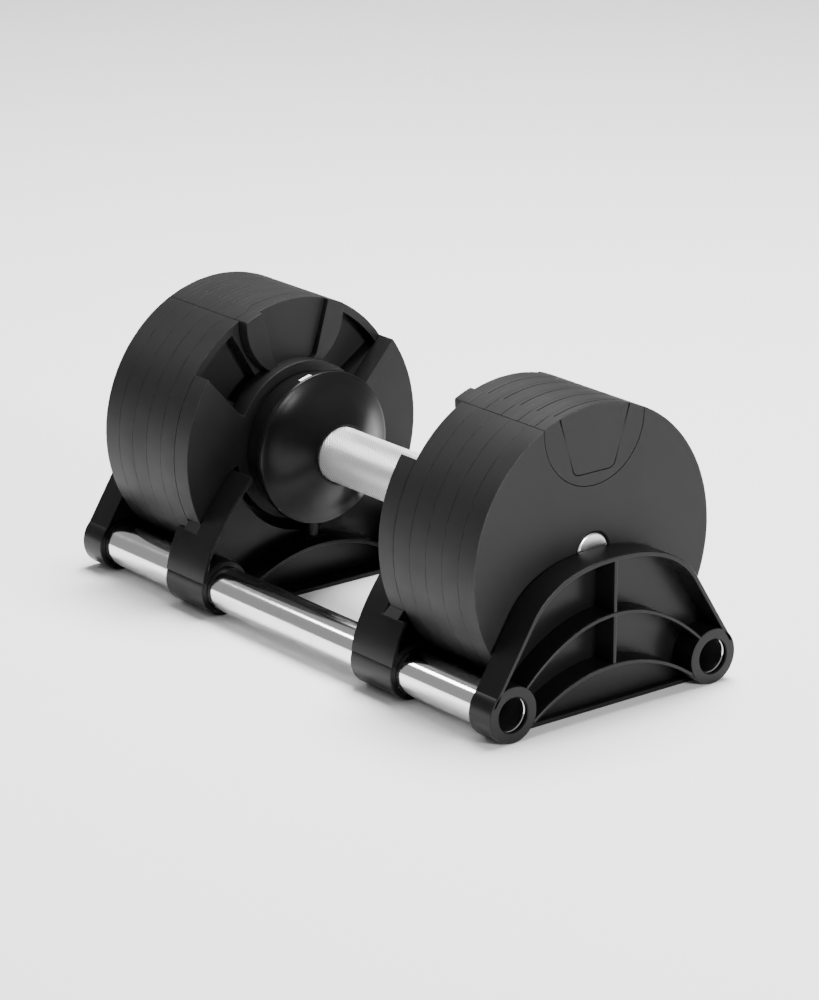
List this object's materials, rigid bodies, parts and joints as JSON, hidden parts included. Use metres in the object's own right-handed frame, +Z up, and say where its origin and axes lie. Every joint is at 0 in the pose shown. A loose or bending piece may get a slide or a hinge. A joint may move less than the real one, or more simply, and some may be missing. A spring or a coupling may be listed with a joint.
{
  "type": "adjustable dumbbell",
  "caption": "Selectorised dumbbell with round stacked plates, a turning knurled grip and flared dials, resting in a cradle of chrome rods and ribbed arch brackets.",
  "frame": {"origin": "centre of the footprint, on the plane that the cradle stands on, under the middle of the grip", "axes": "+X along the handle to the right-hand plates, +Z up, -Y to the front"},
  "size_m": [0.3982, 0.1848, 0.1791],
  "materials": {
    "coated_steel": "satin black coating with fine grain",
    "key_steel": "satin black coating",
    "chrome": "polished chrome plating",
    "knurled_steel": "satin steel with fine diamond knurling",
    "bright_steel": "turned bright steel",
    "spring_steel": "drawn spring wire",
    "gloss_black_plastic": "moulded black, glossy",
    "bearing_plastic": "natural acetal"
  },
  "bodies": {
    "cradle": {"cradle_rod_front": "chrome", "cradle_rod_rear": "chrome", "outer_bracket_left": "gloss_black_plastic", "outer_bracket_right": "gloss_black_plastic", "inner_bracket_left": "gloss_black_plastic", "inner_bracket_right": "gloss_black_plastic", "plate_rest_left": "gloss_black_plastic", "plate_rest_right": "gloss_black_plastic", "release_post_left": "gloss_black_plastic", "release_post_right": "gloss_black_plastic"},
    "handle": {"core_tube": "bright_steel", "core_nut_left": "bright_steel", "core_nut_right": "bright_steel", "end_plate_left": "coated_steel", "end_plate_right": "coated_steel", "tower_key_left": "key_steel", "tower_key_right": "key_steel", "grip_bush_left": "bearing_plastic", "grip_bush_right": "bearing_plastic", "collar_left": "gloss_black_plastic", "collar_right": "gloss_black_plastic", "lock_spring_left": "spring_steel", "lock_spring_right": "spring_steel", "collar_screw_left_front": "bright_steel", "collar_screw_left_rear": "bright_steel", "collar_screw_right_front": "bright_steel", "collar_screw_right_rear": "bright_steel"},
    "grip": {"grip_tube": "knurled_steel", "cam_sleeve": "bright_steel", "lock_ring_left": "bright_steel", "lock_ring_right": "bright_steel", "dial_left": "gloss_black_plastic", "dial_right": "gloss_black_plastic"},
    "rod_left": {"selector_rod_left": "bright_steel", "follower_pin_left": "bright_steel"},
    "lock_left": {"lock_yoke_left": "bright_steel"},
    "plate_left_1": {"weight_plate_left_1": "coated_steel", "plate_key_left_1": "key_steel"},
    "plate_left_2": {"weight_plate_left_2": "coated_steel", "plate_key_left_2": "key_steel"},
    "plate_left_3": {"weight_plate_left_3": "coated_steel", "plate_key_left_3": "key_steel"},
    "plate_left_4": {"weight_plate_left_4": "coated_steel", "plate_key_left_4": "key_steel"},
    "plate_left_5": {"weight_plate_left_5": "coated_steel", "plate_key_left_5": "key_steel"},
    "rod_right": {"selector_rod_right": "bright_steel", "follower_pin_right": "bright_steel"},
    "lock_right": {"lock_yoke_right": "bright_steel"},
    "plate_right_1": {"weight_plate_right_1": "coated_steel", "plate_key_right_1": "key_steel"},
    "plate_right_2": {"weight_plate_right_2": "coated_steel", "plate_key_right_2": "key_steel"},
    "plate_right_3": {"weight_plate_right_3": "coated_steel", "plate_key_right_3": "key_steel"},
    "plate_right_4": {"weight_plate_right_4": "coated_steel", "plate_key_right_4": "key_steel"},
    "plate_right_5": {"weight_plate_right_5": "coated_steel", "plate_key_right_5": "key_steel"}
  },
  "joints": [
    {"name": "dumbbell_lift", "type": "slide", "parent": "cradle", "child": "handle", "axis": [0, 0, 1], "range_m": [0, 0.25]},
    {"name": "grip_turn", "type": "hinge", "parent": "handle", "child": "grip", "pos_m": [0, 0, 0.0916], "axis": [1, 0, 0], "range_deg": [-300, 0]},
    {"name": "rod_slide_left", "type": "slide", "parent": "handle", "child": "rod_left", "axis": [-1, 0, 0], "range_m": [-0.072, 0]},
    {"name": "lock_drop_left", "type": "slide", "parent": "handle", "child": "lock_left", "axis": [0, 0, -1], "range_m": [0, 0.004], "deforming": ["lock_spring_left"]},
    {"name": "plate_lift_left_1", "type": "slide", "parent": "cradle", "child": "plate_left_1", "axis": [0, 0, 1], "range_m": [0, 0.25]},
    {"name": "plate_lift_left_2", "type": "slide", "parent": "cradle", "child": "plate_left_2", "axis": [0, 0, 1], "range_m": [0, 0.25]},
    {"name": "plate_lift_left_3", "type": "slide", "parent": "cradle", "child": "plate_left_3", "axis": [0, 0, 1], "range_m": [0, 0.25]},
    {"name": "plate_lift_left_4", "type": "slide", "parent": "cradle", "child": "plate_left_4", "axis": [0, 0, 1], "range_m": [0, 0.25]},
    {"name": "plate_lift_left_5", "type": "slide", "parent": "cradle", "child": "plate_left_5", "axis": [0, 0, 1], "range_m": [0, 0.25]},
    {"name": "rod_slide_right", "type": "slide", "parent": "handle", "child": "rod_right", "axis": [1, 0, 0], "range_m": [-0.072, 0]},
    {"name": "lock_drop_right", "type": "slide", "parent": "handle", "child": "lock_right", "axis": [0, 0, -1], "range_m": [0, 0.004], "deforming": ["lock_spring_right"]},
    {"name": "plate_lift_right_1", "type": "slide", "parent": "cradle", "child": "plate_right_1", "axis": [0, 0, 1], "range_m": [0, 0.25]},
    {"name": "plate_lift_right_2", "type": "slide", "parent": "cradle", "child": "plate_right_2", "axis": [0, 0, 1], "range_m": [0, 0.25]},
    {"name": "plate_lift_right_3", "type": "slide", "parent": "cradle", "child": "plate_right_3", "axis": [0, 0, 1], "range_m": [0, 0.25]},
    {"name": "plate_lift_right_4", "type": "slide", "parent": "cradle", "child": "plate_right_4", "axis": [0, 0, 1], "range_m": [0, 0.25]},
    {"name": "plate_lift_right_5", "type": "slide", "parent": "cradle", "child": "plate_right_5", "axis": [0, 0, 1], "range_m": [0, 0.25]}
  ],
  "couplings": [
    {"joint": "rod_slide_left", "follows": "grip_turn", "m_per_rad": 0.01375},
    {"joint": "lock_drop_left", "follows": "dumbbell_lift", "ratio": 0.016},
    {"joint": "plate_lift_left_1", "follows": "dumbbell_lift", "ratio": 1},
    {"joint": "plate_lift_left_2", "follows": "dumbbell_lift", "ratio": 1},
    {"joint": "plate_lift_left_3", "follows": "dumbbell_lift", "ratio": 1},
    {"joint": "plate_lift_left_4", "follows": "dumbbell_lift", "ratio": 1},
    {"joint": "plate_lift_left_5", "follows": "dumbbell_lift", "ratio": 1},
    {"joint": "rod_slide_right", "follows": "grip_turn", "m_per_rad": 0.01375},
    {"joint": "lock_drop_right", "follows": "dumbbell_lift", "ratio": 0.016},
    {"joint": "plate_lift_right_1", "follows": "dumbbell_lift", "ratio": 1},
    {"joint": "plate_lift_right_2", "follows": "dumbbell_lift", "ratio": 1},
    {"joint": "plate_lift_right_3", "follows": "dumbbell_lift", "ratio": 1},
    {"joint": "plate_lift_right_4", "follows": "dumbbell_lift", "ratio": 1},
    {"joint": "plate_lift_right_5", "follows": "dumbbell_lift", "ratio": 1}
  ]
}
